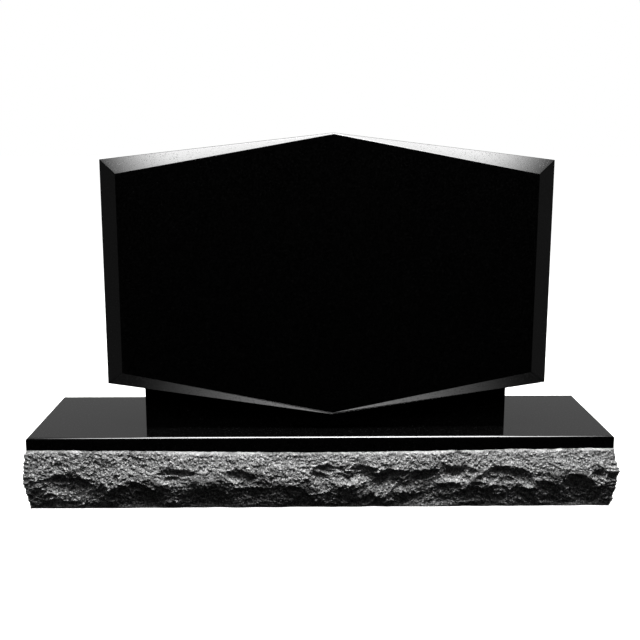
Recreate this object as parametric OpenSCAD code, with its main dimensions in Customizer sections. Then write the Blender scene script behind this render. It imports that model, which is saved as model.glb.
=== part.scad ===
// Headstone: a six-sided tablet on a narrower neck, cut from one slab of granite, standing
// on a base with a polished top and rock-pitched sides. Sizes are in millimetres. The front
// faces -Y, and the origin is on the ground, under the middle of the base.

/* [Base] */
// Width of the base's polished top, arris to arris
base_w = 1200; // [1000:10:1500]
// Depth of the base's polished top, front to back
base_d = 300; // [240:5:400]
// Height of the base, from the ground to its polished top
base_h = 152; // [120:2:220]
// Radius of the eased arris round the top
arris_r = 4; // [2:0.5:8]
// Height of the polished margin round the top
margin_h = 30; // [20:1:45]

/* [Rock pitch] */
// How far the rock face stands proud of the margin at its ridge
rock_proud = 13; // [6:0.5:16]
// Height of the rock face's ridge above the ground
ridge_h = 80; // [50:1:96]
// How far the rock face falls back behind the margin at the ground
rock_fall = 6; // [2:0.5:20]
// Depth of the hollows that the pitching tool left
spall_d = 7; // [2:0.5:10]
// Width of one hollow
spall_w = 68; // [40:1:120]
// How far the margin's lower edge wanders up and down
margin_wander = 4; // [1:0.5:7]
// Spacing of the corners of the rock face's facets
facet = 26; // [20:1:50]

/* [Tablet] */
// Width of the tablet over its sides
tablet_w = 914; // [760:2:960]
// Thickness of the tablet, front to back
tablet_t = 203; // [160:1:220]
// Height of the tablet's peak above the base
peak_h = 610; // [500:2:760]
// How far the shoulders lie below the peak
shoulder_drop = 53; // [20:1:120]
// Height of the tablet's lower corners above the base
hip_h = 95; // [80:1:160]
// How far the tablet's lowest point lies below its lower corners
keel_drop = 63; // [20:1:70]
// How far the peak and the lowest point stand to the right of the tablet's middle
peak_shift = 11; // [0:1:40]
// How far the tablet is set to the right of the base's middle
tablet_shift = 13; // [0:1:20]

/* [Bevels of the face] */
// Width of the side bevels across the face
bevel_w = 35; // [15:1:60]
// How far the face's corners lie inside the shoulders and the lower corners
bevel_h = 28; // [12:1:45]
// How far the bevels run back into the thickness at the corners
bevel_t = 22; // [12:1:35]
// Height of the bevels where they meet at the peak
peak_bevel = 3; // [1:0.5:8]
// Height of the bevels where they meet at the lowest point
keel_bevel = 5; // [1:0.5:10]
// Leg of the eased edge round the plain back
back_ease = 3; // [1:0.5:6]

/* [Neck] */
// Width of the neck
neck_w = 754; // [600:2:756]
// How far the neck's middle lies to the left of the tablet's middle
neck_shift = 3; // [0:1:10]
// How far the neck's front and back are set in from the tablet's face and back
neck_inset = 19; // [8:1:40]

/* [Hidden] */

lap = 8;                           // how far solids of one stone run into each other
arris_fn = 64;                     // facets of a full turn of the arris in a preview

// Rock pitch: a ring of stations round the base, each with its place and its way out
rock_rows = 6;                     // rows of facets from margin to ground
rock_lip = 1.2;                    // least that the rock stands proud under the margin
half = [base_w / 2, base_d / 2];
corners = [[-half.x, -half.y], [half.x, -half.y], [half.x, half.y], [-half.x, half.y]];
ways_out = [[0, -1], [1, 0], [0, 1], [-1, 0]];
stations = [for (side = [0:3])
    let (a = corners[side], b = corners[(side + 1) % 4], steps = round(norm(b - a) / facet))
    for (i = [0:steps - 1])
        [a + (b - a) * i / steps, i == 0 ? [sign(a.x), sign(a.y)] : ways_out[side]]];
rock_h = base_h - margin_h;
jitter = rands(-1, 1, len(stations) * (rock_rows + 1), 41);

// Chance part of a facet corner, from -1 to 1
function chance(s, row) = jitter[row * len(stations) + s];

// Way round the base to station s, in widths of a hollow
function along(s) = s * facet / spall_w;

// Rock face at height share t, from 0 at the margin to 1 at the ground, without hollows
function swell(t) =
    let (ridge = 1 - ridge_h / rock_h, up = min(1, t / ridge), down = max(0, (t - ridge) / (1 - ridge)))
    rock_proud * sin(90 * up) - (rock_proud + rock_fall) * (1 - cos(90 * down));

// Hollows: broad waves that lean as they run down, and the chance of each facet corner
function hollow(s, t, row) =
    spall_d * (0.45 * sin(360 * (along(s) + 0.6 * t)) + 0.35 * sin(360 * (0.37 * along(s) - 0.9 * t) + 70)
        + 0.45 * chance(s, row) - 0.2);

function rock_out(s, row) =
    let (t = row / rock_rows)
    row == 0 ? rock_lip : min(rock_proud, swell(t) + hollow(s, t, row) * sin(150 * t));

function rock_z(s, row) =
    row == rock_rows ? 0 :
    rock_h * (1 - row / rock_rows) + (row == 0 ? margin_wander : rock_h / rock_rows / 5)
        * (0.6 * chance(s, row) + 0.4 * sin(200 * along(s)));

// Ring of facet corners, its stations moved out by outs and each at its own height in heights
function ring_at(outs, heights) = [for (s = [0:len(stations) - 1])
    let (flat = stations[s][0] + stations[s][1] * outs[s]) [flat.x, flat.y, heights[s]]];

// Tablet: corners of its outline and of its face as [across, up], lower left corner first
keel_h = hip_h - keel_drop;
shoulder_h = peak_h - shoulder_drop;
side_x = tablet_w / 2;
face_x = side_x - bevel_w;
outline = [[-side_x, hip_h], [peak_shift, keel_h], [side_x, hip_h],
    [side_x, shoulder_h], [peak_shift, peak_h], [-side_x, shoulder_h]];
field = [[-face_x, hip_h + bevel_h], [peak_shift, keel_h + keel_bevel], [face_x, hip_h + bevel_h],
    [face_x, shoulder_h - bevel_h], [peak_shift, peak_h - peak_bevel], [-face_x, shoulder_h - bevel_h]];

// How far back a flat bevel runs at the outline's corner i, next to its corner k
function run_back(i, k) =
    let (a = [field[i].x, 0, field[i].y], b = [field[k].x, 0, field[k].y],
        c = [outline[k].x, bevel_t, outline[k].y], n = cross(b - a, c - a), up = outline[i] - field[i])
    -(n.x * up.x + n.z * up.y) / n.y;

// Depth of the bevels at each corner: full at the sides, and at the peak and the lowest point
// the mean of what the flat bevels on either side of it come to
depths = [for (i = [0:5]) i % 3 == 1 ? (run_back(i, i - 1) + run_back(i, i + 1)) / 2 : bevel_t];

// Corner i of an outline moved inwards by d on both of its edges
function inset(ring, i, d) =
    let (a = ring[(i + 5) % 6], b = ring[i], c = ring[(i + 1) % 6],
        n1 = [a.y - b.y, b.x - a.x] / norm(b - a), n2 = [b.y - c.y, c.x - b.x] / norm(c - b))
    b + (n1 + n2) * d / (1 + n1 * n2);

// A corner [across, up] of the tablet at depth y behind its face
function at_depth(corner, y) = [corner.x, y - tablet_t / 2, corner.y];

module slab() {
    points = concat([for (i = [0:5]) at_depth(field[i], 0)],
        [for (i = [0:5]) at_depth(outline[i], depths[i])],
        [for (i = [0:5]) at_depth(outline[i], tablet_t - back_ease)],
        [for (i = [0:5]) at_depth(inset(outline, i, back_ease), tablet_t)]);
    face = [[5, 4, 3, 2, 1, 0]];
    back = [[18, 19, 20, 21, 22, 23]];
    skin = [for (ring = [0:2], i = [0:5])
        let (k = (i + 1) % 6, a = 6 * ring + i, b = 6 * ring + k)
        each [[a, b, b + 6], [a, b + 6, a + 6]]];
    polyhedron(points, concat(face, back, skin));
}

module neck() {
    translate([-neck_w / 2 - neck_shift, -tablet_t / 2 + neck_inset, 0])
        cube([neck_w, tablet_t - 2 * neck_inset, hip_h + lap]);
}

module tablet() {
    color([0.10, 0.10, 0.11])
        translate([tablet_shift, 0, base_h])
            union() {
                slab();
                neck();
            }
}

// Profile of the polished part across a side w wide, with both top corners rounded
module eased(w, h) {
    translate([-w / 2, 0]) square([w, h - arris_r]);
    translate([-w / 2 + arris_r, 0]) square([w - 2 * arris_r, h]);
    for (side = [-1, 1])
        translate([side * (w / 2 - arris_r), h - arris_r]) circle(arris_r, $fn = arris_fn);
}

module polished_top() {
    h = margin_h + margin_wander + lap;
    translate([0, 0, base_h - h])
        intersection() {
            rotate([90, 0, 90]) linear_extrude(base_w, center = true) eased(base_d, h);
            rotate([90, 0, 0]) linear_extrude(base_d, center = true) eased(base_w, h);
        }
}

module rock_body() {
    n = len(stations);
    every = [0:n - 1];
    lid_z = rock_h + margin_wander + lap;
    outs = [for (row = [0:rock_rows]) [for (s = every) rock_out(s, row)]];
    rings = concat([ring_at([for (s = every) -lap / 2], [for (s = every) lid_z])],
        [for (row = [0:rock_rows]) ring_at(outs[row], [for (s = every) rock_z(s, row)])],
        [ring_at(outs[rock_rows], [for (s = every) -lap])]);
    last = (len(rings) - 1) * n;
    points = concat([for (ring = rings) each ring], [[0, 0, lid_z], [0, 0, -lap]]);
    skin = [for (r = [0:len(rings) - 2], s = every)
        let (next = (s + 1) % n, a = r * n + s, b = r * n + next, c = a + n, d = b + n)
        each (s + r) % 2 == 0 ? [[a, b, d], [a, d, c]] : [[a, b, c], [b, d, c]]];
    lid = [for (s = every) [(s + 1) % n, s, last + n]];
    foot = [for (s = every) [last + s, last + (s + 1) % n, last + n + 1]];
    polyhedron(points, concat(lid, foot, skin), convexity = 6);
}

// Ground that the base is cut off flat on, wider than the base all round
module ground() {
    translate([-base_w, -base_d, -2 * lap]) cube([2 * base_w, 2 * base_d, 2 * lap]);
}

module base() {
    color([0.22, 0.22, 0.23])
        difference() {
            union() {
                polished_top();
                rock_body();
            }
            ground();
        }
}

base();
tablet();
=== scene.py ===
# A headstone of black granite: a six-sided tablet with bevels round its face, on a narrower
# neck, and a base with a polished top and rock-pitched sides. Lengths are in metres, and the
# stone faces -Y.
import math

import bmesh
import bpy
from mathutils import Matrix, Vector, noise


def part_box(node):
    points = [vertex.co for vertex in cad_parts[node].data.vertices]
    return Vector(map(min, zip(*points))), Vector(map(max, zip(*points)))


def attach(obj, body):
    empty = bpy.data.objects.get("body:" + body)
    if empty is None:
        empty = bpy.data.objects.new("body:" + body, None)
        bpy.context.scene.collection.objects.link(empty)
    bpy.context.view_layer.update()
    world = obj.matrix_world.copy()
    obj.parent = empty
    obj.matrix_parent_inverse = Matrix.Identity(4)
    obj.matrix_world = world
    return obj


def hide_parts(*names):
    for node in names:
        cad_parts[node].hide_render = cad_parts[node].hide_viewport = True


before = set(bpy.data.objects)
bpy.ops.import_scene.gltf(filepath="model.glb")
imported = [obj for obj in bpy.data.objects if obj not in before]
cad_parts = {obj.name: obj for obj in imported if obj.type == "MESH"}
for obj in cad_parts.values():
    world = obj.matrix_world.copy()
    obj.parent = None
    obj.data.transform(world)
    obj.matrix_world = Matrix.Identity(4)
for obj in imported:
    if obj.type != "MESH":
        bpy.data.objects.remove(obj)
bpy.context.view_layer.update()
mm = 0.001
hair = 1e-5              # points nearer than this to a plane lie in it


def nothingSelected():
    if bpy.context.mode != "OBJECT":
        bpy.ops.object.mode_set(mode="OBJECT")
    bpy.ops.object.select_all(action="DESELECT")


def work(piece):
    # piece alone is selected and active
    nothingSelected()
    piece.select_set(True)
    bpy.context.view_layer.objects.active = piece


def intoEditMode(piece):
    work(piece)
    bpy.ops.object.mode_set(mode="EDIT")
    bpy.ops.mesh.select_mode(type="FACE")
    bpy.ops.mesh.select_all(action="DESELECT")


def pickFaces(piece, test):
    # selects the faces whose middle and normal pass the test, and no others
    mesh = bmesh.from_edit_mesh(piece.data)
    for face in mesh.faces:
        face.select_set(bool(test(face.calc_center_median(), face.normal)))
    bmesh.update_edit_mesh(piece.data)


def pickEdges(piece, test):
    # selects the edges whose two ends both pass the test, and no others
    mesh = bmesh.from_edit_mesh(piece.data)
    for edge in mesh.edges:
        edge.select_set(all(test(corner.co) for corner in edge.verts))
    bmesh.update_edit_mesh(piece.data)


def applyAll(piece):
    # place, turn and scale go into the mesh, and modifiers are applied from the top down
    work(piece)
    bpy.ops.object.transform_apply(location=True, rotation=True, scale=True)
    for modifier in list(piece.modifiers):
        bpy.ops.object.modifier_apply(modifier=modifier.name)


def smoothstep(low, high, value):
    share = min(1.0, max(0.0, (value - low) / (high - low)))
    return share * share * (3 - 2 * share)


def hexColour(code):
    # an sRGB hex colour as linear red, green, blue and alpha
    channels = [int(code[i:i + 2], 16) / 255 for i in (1, 3, 5)]
    return [c / 12.92 if c <= 0.04045 else ((c + 0.055) / 1.055) ** 2.4 for c in channels] + [1.0]


def addNode(tree, kind, settings=None, **links):
    # one node with its settings, and its inputs set to values or linked to other nodes' outputs.
    # In an input's name _ stands for a blank, and in0, in1 and so on count the inputs.
    node = tree.nodes.new(kind)
    for name, value in (settings or {}).items():
        setattr(node, name, value)
    for name, value in links.items():
        counted = name.startswith("in")
        socket = node.inputs[int(name[2:]) if counted else name.replace("_", " ")]
        if isinstance(value, bpy.types.NodeSocket):
            tree.links.new(value, socket)
        else:
            socket.default_value = value
    return node


def newMaterial(name):
    material = bpy.data.materials.new(name)
    material.use_nodes = True
    tree = material.node_tree
    tree.nodes.clear()
    output = addNode(tree, "ShaderNodeOutputMaterial")
    shader = addNode(tree, "ShaderNodeBsdfPrincipled")
    tree.links.new(shader.outputs["BSDF"], output.inputs["Surface"])
    place = addNode(tree, "ShaderNodeTexCoord").outputs["Object"]
    return material, tree, shader, place


def ramp(tree, fac, stops):
    node = addNode(tree, "ShaderNodeValToRGB", Fac=fac)
    while len(node.color_ramp.elements) < len(stops):
        node.color_ramp.elements.new(0.5)
    for element, (position, colour) in zip(node.color_ramp.elements, stops):
        element.position = position
        element.color = colour
    return node.outputs["Color"]


polish = dict(
    ground="#010101",          # the fine dark ground of a black granite
    crystal="#090909",         # laths of feldspar that show a little lighter
    crystalSize=1.7 * mm,
    crystalStops=(0.5, 0.9),   # a cell whose chance value lies past these turns from ground to crystal
    speckle=2.6 * mm,          # drawn about twice its real size, so that it shows at arm's length
    speckleStops=(0.53, 0.70),
    mirror=0.045,              # roughness of the buffed ground
    dullGrain=0.32,            # and of the harder grains, which take less polish
    relief=0.1 * mm,           # what the buffing leaves standing
    reliefStrength=0.06,
    ior=1.54,
)


def polishedGranite(name):
    # Black granite, ground and buffed: a near-black mirror, and a fine sparkle of harder grains
    # that only shows where it mirrors strong light
    material, tree, shader, place = newMaterial(name)
    grain = addNode(tree, "ShaderNodeTexVoronoi", dict(feature="F1"), Vector=place,
                    Scale=1 / polish["crystalSize"])
    tones = [hexColour(polish["ground"]), hexColour(polish["crystal"])]
    tone = ramp(tree, grain.outputs["Color"], list(zip(polish["crystalStops"], tones)))
    tree.links.new(tone, shader.inputs["Base Color"])
    dull = addNode(tree, "ShaderNodeTexNoise", Vector=place, Scale=1 / polish["speckle"], Detail=3.0,
                   Roughness=0.6)
    least, most = polish["speckleStops"]
    rough = addNode(tree, "ShaderNodeMapRange", dict(interpolation_type="SMOOTHSTEP"),
                    Value=dull.outputs["Fac"], From_Min=least, From_Max=most,
                    To_Min=polish["mirror"], To_Max=polish["dullGrain"])
    tree.links.new(rough.outputs["Result"], shader.inputs["Roughness"])
    shader.inputs["IOR"].default_value = polish["ior"]
    bump = addNode(tree, "ShaderNodeBump", Height=grain.outputs["Distance"],
                   Strength=polish["reliefStrength"], Distance=polish["relief"])
    tree.links.new(bump.outputs["Normal"], shader.inputs["Normal"])
    return material


pitched = dict(
    dark="#313131",            # biotite and hornblende in the broken face
    body="#6f6f6f",            # broken crystals scatter light, so the same stone looks grey
    pale="#bcbcbc",            # cleaved feldspar
    stops=(0.25, 0.5, 0.75),   # where these three stand in the mix of grains and patches
    bruise="#dcdcdc",          # crushed white where the chisel struck
    grain=2.4 * mm,            # drawn somewhat coarser than its real 1 to 2 mm, so that it shows
    coarse=6 * mm,             # patches that hold more of one crystal
    relief=1.6 * mm,           # how far broken crystals stand up
    roughness=0.68,
    ior=1.54,
)


def pitchedGranite(name):
    # The same granite split off with a pitching chisel: matt, grey and granular, with bruised
    # edges that are almost white
    material, tree, shader, place = newMaterial(name)
    grain = addNode(tree, "ShaderNodeTexVoronoi", dict(feature="F1"), Vector=place,
                    Scale=1 / pitched["grain"])
    blotch = addNode(tree, "ShaderNodeTexNoise", Vector=place, Scale=1 / pitched["coarse"], Detail=5.0,
                     Roughness=0.7)
    mixed = addNode(tree, "ShaderNodeMix", dict(data_type="FLOAT"), in0=0.5, in2=grain.outputs["Color"],
                    in3=blotch.outputs["Fac"])
    tones = [hexColour(pitched[crystal]) for crystal in ("dark", "body", "pale")]
    tone = ramp(tree, mixed.outputs[0], list(zip(pitched["stops"], tones)))
    bruised = addNode(tree, "ShaderNodeAttribute", dict(attribute_name="bruise"))
    mix = addNode(tree, "ShaderNodeMix", dict(data_type="RGBA"), in0=bruised.outputs["Fac"], in6=tone,
                  in7=hexColour(pitched["bruise"]))
    tree.links.new(mix.outputs[2], shader.inputs["Base Color"])
    shader.inputs["Roughness"].default_value = pitched["roughness"]
    shader.inputs["IOR"].default_value = pitched["ior"]
    bump = addNode(tree, "ShaderNodeBump", Height=mixed.outputs[0], Strength=1.0,
                   Distance=pitched["relief"])
    tree.links.new(bump.outputs["Normal"], shader.inputs["Normal"])
    return material


tablet = dict(
    shoulderDrop=53 * mm,      # shoulders below the peak
    hipHeight=95 * mm,         # lower corners above the base
    keelDrop=63 * mm,          # lowest point below the lower corners
    peakShift=11 * mm,         # peak right of the tablet's middle
    bevelWidth=35 * mm,        # of the side bevels, across the face
    bevelRise=28 * mm,         # face's corners inside the shoulders and the lower corners
    bevelDepth=22 * mm,        # how far the bevels run back at the sides
    peakBevel=3 * mm,          # the bevels narrow to these heights at the peak and the lowest point
    keelBevel=5 * mm,
    backEase=3 * mm,           # leg of the eased edge round the plain back
    neckWidth=754 * mm,
    neckShift=-3 * mm,         # neck left of the tablet's middle
    neckInset=19 * mm,         # neck's front and back behind the tablet's
    neckLap=5 * mm,            # how far the neck runs up into the slab
    edgeRound=0.7 * mm,        # a hand-eased edge catches a thin line of light
    edgeSegments=2,
    edgeAngle=20,              # degrees: flatter edges than this are left alone
)


def makeTablet():
    low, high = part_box("tablet")
    middle = (low.x + high.x) / 2
    peak = middle + tablet["peakShift"]
    shoulder = high.z - tablet["shoulderDrop"]
    hip = low.z + tablet["hipHeight"]
    keel = hip - tablet["keelDrop"]
    width, rise = tablet["bevelWidth"], tablet["bevelRise"]
    outline = [(low.x, hip), (peak, keel), (high.x, hip),
               (high.x, shoulder), (peak, high.z), (low.x, shoulder)]
    field = [(low.x + width, hip + rise), (peak, keel + tablet["keelBevel"]), (high.x - width, hip + rise),
             (high.x - width, shoulder - rise), (peak, high.z - tablet["peakBevel"]),
             (low.x + width, shoulder - rise)]
    side = tablet["bevelDepth"]
    half = (high.x - low.x) / 2
    keelDepth = side * tablet["keelBevel"] / (rise + width * tablet["keelDrop"] / half)
    peakDepth = side * tablet["peakBevel"] / (rise + width * tablet["shoulderDrop"] / half)
    depths = [side, keelDepth, side, side, peakDepth, side]
    ease = tablet["backEase"]
    rings = [
        [Vector((x, low.y, z)) for x, z in field],
        [Vector((x, low.y + depth, z)) for (x, z), depth in zip(outline, depths)],
        [Vector((x, high.y - ease, z)) for x, z in outline],
        [Vector((x + (ease if x < peak else -ease if x > peak else 0), high.y,
                 z + (ease if i < 3 else -ease))) for i, (x, z) in enumerate(outline)],
    ]
    nothingSelected()
    bpy.ops.mesh.primitive_circle_add(vertices=6, radius=width, fill_type="NGON", location=rings[0][0])
    slab = bpy.context.object
    slab.name = "tablet_stone"
    bpy.ops.object.transform_apply(location=True, rotation=True, scale=True)
    intoEditMode(slab)
    bpy.ops.mesh.select_all(action="SELECT")
    for step, ring in enumerate(rings):       # the six corners are pulled back ring by ring
        if step:
            bpy.ops.mesh.extrude_region_move()
        mesh = bmesh.from_edit_mesh(slab.data)
        face = next(f for f in mesh.faces if f.select)
        for loop, place in zip(face.loops, ring):
            loop.vert.co = place
        bmesh.update_edit_mesh(slab.data)
    bpy.ops.mesh.select_all(action="SELECT")
    bpy.ops.mesh.normals_make_consistent(inside=False)
    bpy.ops.object.mode_set(mode="OBJECT")

    inset = tablet["neckInset"]
    neckTop = hip + tablet["neckLap"]
    nothingSelected()
    bpy.ops.mesh.primitive_cube_add(
        size=1, location=(middle + tablet["neckShift"], 0, (low.z + neckTop) / 2),
        scale=(tablet["neckWidth"], high.y - low.y - 2 * inset, neckTop - low.z))
    neck = bpy.context.object
    applyAll(neck)
    grow = slab.modifiers.new("neck", "BOOLEAN")
    grow.operation = "UNION"
    grow.solver = "EXACT"
    grow.object = neck
    arris = slab.modifiers.new("arris", "BEVEL")
    arris.width = tablet["edgeRound"]
    arris.segments = tablet["edgeSegments"]
    arris.limit_method = "ANGLE"
    arris.angle_limit = math.radians(tablet["edgeAngle"])
    applyAll(slab)
    bpy.data.objects.remove(neck)
    slab.data.materials.clear()
    slab.data.materials.append(polishedGranite("polished_black_granite"))
    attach(slab, "root")
    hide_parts("tablet")
    print("tablet:", len(slab.data.polygons), "faces")


base = dict(
    proud=13 * mm,             # the furthest that the broken face stands in front of the margin
    foot=3.5 * mm,             # how far the foot lies behind it
    margin=26 * mm,            # height of the polished margin at the ends of the front
    marginSag=6 * mm,          # and how much more it has at the middle
    sagSpan=1.25,              # length over which the sag comes and goes
    wander=[(1.6, 14, 3.1), (0.8, 75, 8.3)],            # of the margin's edge: mm, waves a metre, seed
    arris=4 * mm,
    arrisProfile=0.36,         # 0.25 is a flat chamfer and 0.5 is round
    arrisSegments=5,
    strip=1 * mm,              # narrow strips beside the arris keep the flats flat
    lip=1.1 * mm,              # the ledge that the chisel leaves under the margin
    lipWeight=(0.8, 1.6),      # its mean, and how much it changes along the sides
    lipReach=5 * mm,
    upperSlope=0.205,          # how far the upper face comes out for its height
    slopeChange=0.07,
    cornerSpread=(1.15, -0.15),                         # it comes out further at the corners
    leftEnd=(-0.28, -0.50, 0.12),                       # it is struck off steeper: from, to, by how much
    brow=10.3 * mm,            # where the upper face stops, at the ridge over the hollows
    browGive=0.25,             # what is left of anything that stands out past the brow
    shelf=10 * mm,             # how far in front of the brow the lower face would start at the margin
    shelfEnds=(0.11, 0.39),    # shares of the height between which it comes back to the brow
    fall=(0.35, 0.65, 1.15),   # the lower face falls back from here, over this share, with this bend
    shallow=(0.45, 0.75, 0.65),                         # the scoops die down: from, to, by how much
    straight=(0.90, 1.0, 0.85),                         # and all the relief does, next to the cut foot
    streaky=(0.42, 0.62),      # shares of the height between which streaks take over
    cornerReach=70 * mm,       # the scoops are shallow this near a corner
    warp=[(9, 0.026), (33, 0.007)],                     # waves a metre, and how far they pull the scoops
    facetWarp=0.4,             # how much of that the smallest flakes follow
    slant=0.9,                 # how much the scoops lean, more one way or the other along the stone
    slantWaves=1.3,
    bowl=[Vector((0.105, 0.105, 0.060)), 11.5 * mm, 0.0],    # size, depth and seed of the scoops
    bowlWeight=(0.3, 0.7),     # at a corner, and how much more along the sides
    scoop=[Vector((0.032, 0.032, 0.019)), 3.4 * mm, 4.7],
    scoopWeight=(0.22, 0.70),  # above the ridge, and how much more under it
    facet=[Vector((0.0125, 0.0125, 0.0095)), 1.4 * mm, 9.2],
    facetWeight=(0.65, 0.10),  # above the streaks, and how much more among them
    dishSteep=2.6,             # how fast a scoop's floor rises
    dishMost=1.3,
    flakeTurn=5.3,             # how differently two neighbouring flakes tip
    flakeTip=1.5,
    swell=2.8 * mm,            # broad unevenness
    swellWaves=22,
    growOver=9 * mm,           # the roughness grows over this depth under the margin
    quiet=(0.3, 0.7),          # from this, and by how much
    streak=0.7 * mm,           # ridges where the grain tore
    streakWaves=(70, 190),
    streakWeight=(0.5, 1.0),   # of the broad ones, and how much more at the foot
    streakTurn=(0.3, 2.0),     # how they lie, and how far that turns
    streakLong=0.45,           # the smaller, the longer they are
    grit=1.7 * mm,             # the coarsest of what a hand feels; finer grains are in the bump
    gritWaves=230,
    capGap=0.05 * mm,          # nothing comes nearer than this to the furthest that the face may stand
    capOver=1.5 * mm,          # and what would is pressed together over this
    apart=[Vector((13.4, 0.0, 0.0)), Vector((31.7, 13.4, 5.2)), Vector((0.0, 17.3, 56.5))],
    bruise=0.45,               # how white the struck edge under the margin is at its whitest
    bruiseReach=8 * mm,
    cell=120 * mm,             # the rock face is cut into cells, and each cell into small quads
    cuts=67,
    smallFace=1e-4,            # square metres: only the broken faces are cut so finely
    wanderRoom=4 * mm,         # the margin's edge strays less than this
    shadeAngle=25,             # degrees
)


def sideways(place, perMetre, seed):
    # a wave that changes along the sides and is the same at every height: about -1 to 1
    return noise.noise(Vector((place.x * perMetre, place.y * perMetre, seed)))


def waves(place):
    # three waves that don't follow each other, as a vector
    return Vector([noise.noise(place + away) for away in base["apart"]])


def weighed(weight, share):
    # a weight is given as its value at share 0 and how much it gains by share 1
    least, gain = weight
    return least + gain * share


def faded(fading, share):
    # 1 up to the start, and lower by the loss from the end on
    start, end, loss = fading
    return 1 - loss * smoothstep(start, end, share)


def marginEdge(co, top):
    # height of the margin's lower edge: it sags at the middle of the long sides and wanders a little
    sag = base["marginSag"] * math.cos(math.pi * co.x / base["sagSpan"]) ** 2
    wander = sum(size * sideways(co, perMetre, seed) for size, perMetre, seed in base["wander"])
    return top - base["margin"] - sag + wander * mm


def inCells(place, size, seed):
    return Vector((place.x / size.x + seed, place.y / size.y - seed, place.z / size.z))


def dished(distance):
    # 0 at the middle of a scoop and about 1 at the sharp edges between scoops
    return min(base["dishMost"], distance * distance * base["dishSteep"])


def flake(place, size, seed):
    # a scoop whose floor is also tipped its own way, as a flake leaves it: about -1 to 1
    spot = inCells(place, size, seed)
    distances, middles = noise.voronoi(spot)
    tip = waves(middles[0] * base["flakeTurn"])
    return dished(distances[0]) - 0.5 + base["flakeTip"] * tip.dot(spot - middles[0])


def streaks(place, run, perMetre):
    # short ridges that lie slanting, and turn from place to place
    turn = weighed(base["streakTurn"], noise.noise(place * 11))
    along = run * math.cos(turn) + place.z * math.sin(turn)
    across = place.z * math.cos(turn) - run * math.sin(turn)
    torn = Vector((along * perMetre * base["streakLong"], across * perMetre, run * 3))
    return 0.5 - 2 * abs(noise.noise(torn))


def upperFace(place, depth, inward):
    # the slope that the chisel's blow leaves, out and down from the margin's edge
    slope = base["upperSlope"] + base["slopeChange"] * sideways(place, 7, 2.7)
    start, end, steeper = base["leftEnd"]
    slope -= steeper * smoothstep(start, end, place.x)
    lip = base["lip"] * weighed(base["lipWeight"], sideways(place, 30, 6.1))
    spread = weighed(base["cornerSpread"], inward)
    return lip * smoothstep(0, base["lipReach"], depth) + depth * slope * spread


def lowerFace(spot, share, inward, fade):
    # under the ridge: scooped hollow, and falling back to the foot
    size, deep, seed = base["bowl"]
    bowl = 1 - dished(noise.voronoi(inCells(spot, size, seed))[0][0])
    hollow = deep * fade * weighed(base["bowlWeight"], inward) * bowl
    shelf = base["shelf"] * (1 - smoothstep(*base["shelfEnds"], share))
    start, over, bend = base["fall"]
    fall = (base["brow"] + base["foot"]) * max(0.0, (share - start) / over) ** bend
    return base["brow"] - hollow + shelf - fall


def rockOut(place, depth, height, corner):
    # how far the broken face stands in front of the margin, at a depth under the margin's edge
    share = depth / height
    run = place.x + place.y
    (wide, pull), (fine, tug) = base["warp"]
    warp = waves(place * wide) * pull + waves(place * fine) * tug
    lean = run * base["slant"] * noise.noise(Vector((run * base["slantWaves"], 4.2, 0)))
    slant = Vector((0, 0, lean))
    spot = place + warp + slant

    inward = smoothstep(0, base["cornerReach"], corner)     # 0 at a corner, 1 along the sides
    hold = faded(base["straight"], share)                   # what is left of the fine relief
    fade = hold * faded(base["shallow"], share)             # and of the scoops
    foot = smoothstep(*base["streaky"], share)
    upper = upperFace(place, depth, inward)
    lower = lowerFace(spot, share, inward, fade)
    under = smoothstep(-1 * mm, 1 * mm, upper - lower)      # 0 on the upper face, 1 below the ridge
    out = min(upper, lower, base["brow"] + base["browGive"] * (min(upper, lower) - base["brow"]))

    grow = smoothstep(0, base["growOver"], depth)
    rough = weighed(base["quiet"], grow)
    out += base["swell"] * noise.noise(spot * base["swellWaves"]) * grow
    size, deep, seed = base["scoop"]
    out += deep * fade * grow * weighed(base["scoopWeight"], under) * flake(spot, size, seed)
    size, deep, seed = base["facet"]
    near = place + warp * base["facetWarp"] + slant
    out += deep * hold * rough * weighed(base["facetWeight"], foot) * flake(near, size, seed)
    broad, thin = [streaks(place, run, perMetre) for perMetre in base["streakWaves"]]
    out += rough * hold * base["streak"] * (weighed(base["streakWeight"], foot) * grow * broad + thin)
    out += rough * hold * base["grit"] * noise.fractal(place * base["gritWaves"], 0.6, 2.1, 3)

    cap = base["proud"] - base["capGap"]
    start = cap - base["capOver"]
    if out < start:
        return out
    return start + (cap - start) * (1 - math.exp((start - out) / (cap - start)))


def bruiseAt(place, depth):
    # the struck edge under the margin is crushed white in patches
    patch = min(1.0, max(0.0, 0.45 + 1.2 * noise.noise(place * 11) + 0.8 * noise.noise(place * 60)))
    return base["bruise"] * patch * smoothstep(base["bruiseReach"], 0, depth)


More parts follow.
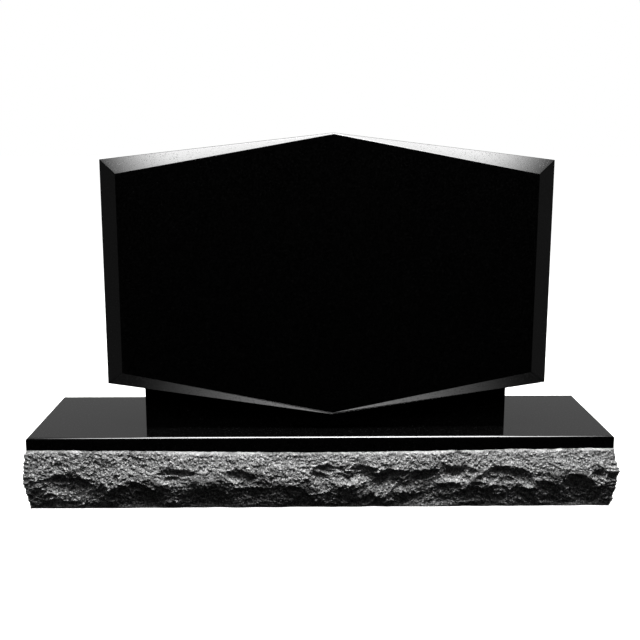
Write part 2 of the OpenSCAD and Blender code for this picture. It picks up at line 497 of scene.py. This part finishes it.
def makeBase():
    low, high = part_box("base")
    top = high.z
    proud = base["proud"]
    wide, deep = high.x - proud, high.y - proud     # half sizes of the polished top
    nothingSelected()
    bpy.ops.mesh.primitive_cube_add(size=1, location=(0, 0, top / 2), scale=(2 * wide, 2 * deep, top))
    stone = bpy.context.object
    stone.name = "base_stone"
    bpy.ops.object.transform_apply(location=True, rotation=True, scale=True)
    edge = top - base["margin"] - base["marginSag"] / 2
    intoEditMode(stone)
    pickFaces(stone, lambda middle, normal: abs(normal.z) < 0.5)
    bpy.ops.mesh.bisect(plane_co=(0, 0, edge), plane_no=(0, 0, 1))

    def isRock(middle, normal):
        return abs(normal.z) < 0.5 and middle.z < edge

    # front, back and both ends: the way out, half the length, and the share of cells; the back,
    # which is seldom looked at, has half as many
    sides = [(Vector((0, -1, 0)), wide, 1), (Vector((0, 1, 0)), wide, 0.5),
             (Vector((1, 0, 0)), deep, 1), (Vector((-1, 0, 0)), deep, 1)]
    for way, half, share in sides:
        cells = round(2 * half / base["cell"] * share)
        acrossX, acrossY = abs(way.y), abs(way.x)
        for i in range(1, cells):
            cut = -half + 2 * half * i / cells
            pickFaces(stone, lambda middle, normal: isRock(middle, normal) and normal.dot(way) > 0.9)
            bpy.ops.mesh.bisect(plane_co=(cut * acrossX, cut * acrossY, 0),
                                plane_no=(acrossX, acrossY, 0))
    pickFaces(stone, isRock)
    bpy.ops.mesh.subdivide(number_cuts=base["cuts"])
    bpy.ops.mesh.select_mode(type="EDGE")
    pickEdges(stone, lambda co: co.z > top - hair)
    bpy.ops.mesh.bevel(offset=base["arris"], segments=base["arrisSegments"],
                       profile=base["arrisProfile"], affect="EDGES")
    bpy.ops.mesh.select_mode(type="FACE")
    pickFaces(stone, lambda middle, normal: normal.z > 0.99)
    bpy.ops.mesh.inset(thickness=base["strip"])
    pickFaces(stone, lambda middle, normal: abs(normal.z) < 0.01 and middle.z > edge)
    bpy.ops.mesh.bisect(plane_co=(0, 0, top - base["arris"] - base["strip"]), plane_no=(0, 0, 1))
    bpy.ops.object.mode_set(mode="OBJECT")

    # the broken faces are worked point by point
    bruise = stone.data.attributes.new("bruise", "FLOAT", "POINT")
    for index, vertex in enumerate(stone.data.vertices):
        co = vertex.co.copy()
        sideX = abs(abs(co.x) - wide) < hair
        sideY = abs(abs(co.y) - deep) < hair
        if co.z > edge + hair or not (sideX or sideY):
            continue
        rim = marginEdge(co, top)
        z = rim * co.z / edge
        place = Vector((co.x, co.y, z))
        corner = min(wide - abs(co.x) if sideY else 1, deep - abs(co.y) if sideX else 1)
        out = rockOut(place, rim - z, rim, corner) if rim - z > hair else 0.0
        if sideX:
            vertex.co.x += out * math.copysign(1, co.x)
        if sideY:
            vertex.co.y += out * math.copysign(1, co.y)
        vertex.co.z = z
        bruise.data[index].value = bruiseAt(place, rim - z)
    print("base: rock faces worked,", len(stone.data.vertices), "points")

    stone.data.materials.clear()
    stone.data.materials.append(polishedGranite("polished_base_granite"))
    stone.data.materials.append(pitchedGranite("rock_pitched_granite"))
    for face in stone.data.polygons:
        broken = face.area < base["smallFace"] and face.center.z < edge + base["wanderRoom"]
        sawnFoot = face.center.z < hair
        face.material_index = 1 if broken or sawnFoot else 0
    work(stone)
    bpy.ops.object.shade_smooth_by_angle(angle=math.radians(base["shadeAngle"]))
    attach(stone, "root")
    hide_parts("base")


makeTablet()
makeBase()


studio = dict(
    floor="#9a9a9a",
    floorGlow=1.05,
    back=0.31,                 # what the polish mirrors behind the stone
    backEnds=(-0.76, 0.9),     # it grows from nothing in front to this behind
    groundEnds=(-0.60, -0.28), # and fades out well below the horizon
    # soft boxes overhead: name, size, place, power, where their light fades towards the two ends
    # and the front edge, and whether the polish mirrors them
    boxes=[
        ("front_soft_box", (3.8, 0.5), (0.09, -1.10, 2.9), 128, (0.288, 0.409), (0.0, 0.7), True),
        ("top_soft_box", (3.4, 0.5), (0.12, -0.60, 2.9), 400, (0.10, 0.44), (-0.1, 0.0), True),
        ("back_soft_box", (3.4, 0.5), (0, 0.60, 2.9), 300, (0.10, 0.44), (-0.1, 0.0), False),
    ],
    boxEnd=0.02,               # what is left of a soft box's light at its two ends
    fillSize=(2.4, 1.2),
    fillPlace=(0, -1.5, 1.7),
    fillTilt=40,               # degrees
    fillPower=1.6,
    sensor=36,                 # millimetres, as the lens
    lens=51.35,
    shift=-0.03125,            # the frame is centred on the stone, a little under the level aim
    turn=-1.048,               # degrees, as the dip and the lean
    dip=10.24,
    lean=0.091,
    eye=(-0.0364, -1.9292, 0.7573),
)


def makeStage():
    nothingSelected()
    bpy.ops.mesh.primitive_plane_add(size=60, location=(0, 0, 0))
    floor = bpy.context.object
    floor.name = "floor"
    material = bpy.data.materials.new("pale_floor")
    material.use_nodes = True
    tree = material.node_tree
    tree.nodes.clear()
    output = addNode(tree, "ShaderNodeOutputMaterial")
    diffuse = addNode(tree, "ShaderNodeBsdfDiffuse", Color=hexColour(studio["floor"]))
    glow = addNode(tree, "ShaderNodeEmission", Color=hexColour("#ffffff"), Strength=studio["floorGlow"])
    both = addNode(tree, "ShaderNodeAddShader", in0=diffuse.outputs[0], in1=glow.outputs[0])
    tree.links.new(both.outputs[0], output.inputs["Surface"])
    floor.data.materials.append(material)
    floor.visible_glossy = False      # the polish mirrors a dark yard and not the pale floor
    floor.visible_diffuse = False
    print("stage: floor")


def makeWorld():
    world = bpy.data.worlds.new("studio")
    bpy.context.scene.world = world
    world.use_nodes = True
    tree = world.node_tree
    tree.nodes.clear()
    output = addNode(tree, "ShaderNodeOutputWorld")
    around = addNode(tree, "ShaderNodeTexCoord").outputs["Generated"]
    way = addNode(tree, "ShaderNodeSeparateXYZ", Vector=around)
    front, behind = studio["backEnds"]
    level = addNode(tree, "ShaderNodeMapRange", Value=way.outputs["Y"], From_Min=front, From_Max=behind,
                    To_Min=0.0, To_Max=studio["back"])
    under, over = studio["groundEnds"]
    above = addNode(tree, "ShaderNodeMapRange", Value=way.outputs["Z"], From_Min=under, From_Max=over,
                    To_Min=0.0, To_Max=1.0)
    sky = addNode(tree, "ShaderNodeMath", dict(operation="MULTIPLY"), in0=level.outputs["Result"],
                  in1=above.outputs["Result"])
    white = hexColour("#ffffff")
    mirrored = addNode(tree, "ShaderNodeBackground", Color=white, Strength=sky.outputs[0])
    seen = addNode(tree, "ShaderNodeBackground", Color=white, Strength=1.0)
    straight = addNode(tree, "ShaderNodeLightPath").outputs["Is Camera Ray"]
    mix = addNode(tree, "ShaderNodeMixShader", in0=straight, in1=mirrored.outputs[0], in2=seen.outputs[0])
    tree.links.new(mix.outputs[0], output.inputs["Surface"])


def makeSoftBox(name, size, place, power, ends, edge, mirrored):
    # a cloth lit from its middle fades towards its two ends, and here towards its front edge too
    light = bpy.data.lights.new(name, "AREA")
    light.shape = "RECTANGLE"
    light.size, light.size_y = size
    light.energy = power
    light.use_nodes = True
    tree = light.node_tree
    tree.nodes.clear()
    output = addNode(tree, "ShaderNodeOutputLight")
    spot = addNode(tree, "ShaderNodeNewGeometry").outputs["Parametric"]
    ways = addNode(tree, "ShaderNodeSeparateXYZ", Vector=spot)
    off = addNode(tree, "ShaderNodeMath", dict(operation="SUBTRACT"), in0=ways.outputs["X"], in1=0.5)
    away = addNode(tree, "ShaderNodeMath", dict(operation="ABSOLUTE"), in0=off.outputs[0])
    along = addNode(tree, "ShaderNodeMapRange", dict(interpolation_type="SMOOTHSTEP"),
                    Value=away.outputs[0], From_Min=ends[0], From_Max=ends[1],
                    To_Min=1.0, To_Max=studio["boxEnd"])
    across = addNode(tree, "ShaderNodeMapRange", dict(interpolation_type="SMOOTHSTEP"),
                     Value=ways.outputs["Y"], From_Min=edge[0], From_Max=edge[1], To_Min=0.0, To_Max=1.0)
    level = addNode(tree, "ShaderNodeMath", dict(operation="MULTIPLY"), in0=along.outputs["Result"],
                    in1=across.outputs["Result"])
    glow = addNode(tree, "ShaderNodeEmission", Color=hexColour("#ffffff"), Strength=level.outputs[0])
    tree.links.new(glow.outputs[0], output.inputs["Surface"])
    lamp = bpy.data.objects.new(name, light)
    lamp.location = place
    lamp.visible_glossy = mirrored
    bpy.context.scene.collection.objects.link(lamp)


def makeFill():
    # a little light from in front and above, which no polished face mirrors, opens up the hollows
    light = bpy.data.lights.new("fill", "AREA")
    light.shape = "RECTANGLE"
    light.size, light.size_y = studio["fillSize"]
    light.energy = studio["fillPower"]
    lamp = bpy.data.objects.new("fill", light)
    lamp.location = studio["fillPlace"]
    lamp.rotation_euler = (math.radians(studio["fillTilt"]), 0, 0)
    lamp.visible_glossy = False
    bpy.context.scene.collection.objects.link(lamp)


def makeCamera():
    view = bpy.data.cameras.new("camera")
    view.sensor_width = studio["sensor"]
    view.lens = studio["lens"]
    view.shift_y = studio["shift"]
    camera = bpy.data.objects.new("camera", view)
    turn = Matrix.Rotation(math.radians(studio["turn"]), 4, "Z")
    tilt = Matrix.Rotation(math.radians(90 - studio["dip"]), 4, "X")
    lean = Matrix.Rotation(math.radians(studio["lean"]), 4, "Z")
    camera.matrix_world = Matrix.Translation(studio["eye"]) @ turn @ tilt @ lean
    bpy.context.scene.collection.objects.link(camera)
    bpy.context.scene.camera = camera
    print("camera and lights placed")


makeStage()
makeWorld()
for box in studio["boxes"]:
    makeSoftBox(*box)
makeFill()
makeCamera()
bpy.context.scene.view_settings.view_transform = "Standard"
